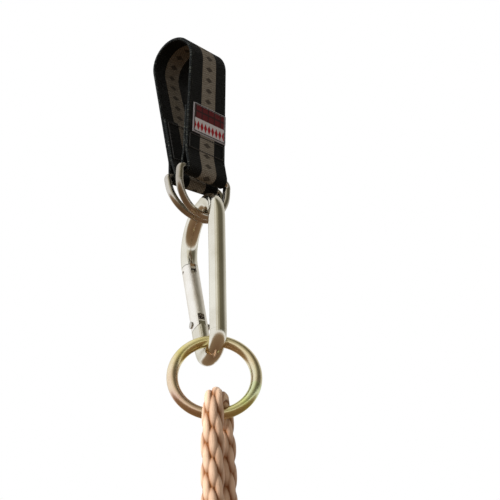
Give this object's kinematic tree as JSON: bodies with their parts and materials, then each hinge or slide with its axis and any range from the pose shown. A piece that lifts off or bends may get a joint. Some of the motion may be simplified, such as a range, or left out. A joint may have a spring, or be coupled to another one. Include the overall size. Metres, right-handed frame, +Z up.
{
  "type": "swing hanger",
  "caption": "Webbing sling over a pole with D-rings, a spring snap hook, a welded ring and a doubled braided rope knotted below it.",
  "frame": {"origin": "centre of the pole, under the middle of the sling's width", "axes": "+X along the pole, +Y level and away from the front leg of the sling, +Z up"},
  "size_m": [0.0566, 0.0728, 0.4512],
  "materials": {
    "webbing": "woven polyester webbing, black edges and a taupe stripe",
    "label_cloth": "woven label, dark red over off-white",
    "dark_thread": "bonded polyester thread",
    "nickel_wire": "nickel-plated steel wire",
    "zinc_steel": "bright zinc-plated steel",
    "rivet_steel": "plain steel",
    "spring_steel": "spring steel",
    "yellow_zinc": "yellow-passivated zinc on steel",
    "braided_rope": "braided polypropylene rope, beige",
    "whipping_twine": "waxed twine"
  },
  "bodies": {
    "sling": {"webbing_over_pole": "webbing", "front_webbing_leg": "webbing", "back_webbing_leg": "webbing", "sewn_label": "label_cloth", "label_stitching": "dark_thread", "front_end_stitching": "dark_thread", "back_end_stitching": "dark_thread"},
    "front_ring": {"front_d_ring": "nickel_wire"},
    "back_ring": {"back_d_ring": "nickel_wire"},
    "hook": {"hook_body": "zinc_steel"},
    "gate": {"hook_gate": "zinc_steel", "gate_rivet": "rivet_steel", "nose_pin": "rivet_steel", "gate_spring": "spring_steel"},
    "plunger": {"spring_plunger": "spring_steel"},
    "ring": {"hanging_ring": "yellow_zinc"},
    "rope": {"rope": "braided_rope", "rope_knot": "braided_rope", "rope_tails": "braided_rope", "tail_whippings": "whipping_twine"}
  },
  "joints": [
    {"name": "front_d_swing", "type": "hinge", "parent": "sling", "child": "front_ring", "pos_m": [-0.0027, -0.015, -0.0916], "axis": [0.9969, -0.0785, 0], "range_deg": [0, 12]},
    {"name": "back_d_swing", "type": "hinge", "parent": "sling", "child": "back_ring", "pos_m": [0.0036, 0.0007, -0.0916], "axis": [0.9781, -0.2079, 0], "range_deg": [0, 12]},
    {"name": "hook_tilt", "type": "hinge", "parent": "front_ring", "child": "hook", "pos_m": [0.0045, -0.0099, -0.1117], "axis": [0.9897, -0.1435, 0], "range_deg": [-12, 12]},
    {"name": "gate_swing", "type": "hinge", "parent": "hook", "child": "gate", "pos_m": [0.01131, 0.00346, -0.20031], "axis": [0.891, -0.454, 0], "range_deg": [0, 24], "stiffness_Nm_per_rad": 0.15, "springref_deg": -20.05},
    {"name": "plunger_slide", "type": "slide", "parent": "gate", "child": "plunger", "axis": [0.1403, 0.2753, 0.9511], "range_m": [0, 0.00066]},
    {"name": "ring_swing", "type": "hinge", "parent": "hook", "child": "ring", "pos_m": [0.00087, -0.01703, -0.2317], "axis": [0.454, 0.891, 0], "range_deg": [-25, 25]},
    {"name": "rope_swing", "type": "hinge", "parent": "ring", "child": "rope", "pos_m": [-0.0009, -0.0235, -0.279], "axis": [0.682, -0.7314, 0], "range_deg": [-40, 40]}
  ],
  "couplings": [
    {"joint": "back_d_swing", "follows": "front_d_swing", "ratio": 1},
    {"joint": "plunger_slide", "follows": "gate_swing", "m_per_rad": 0.00155}
  ]
}
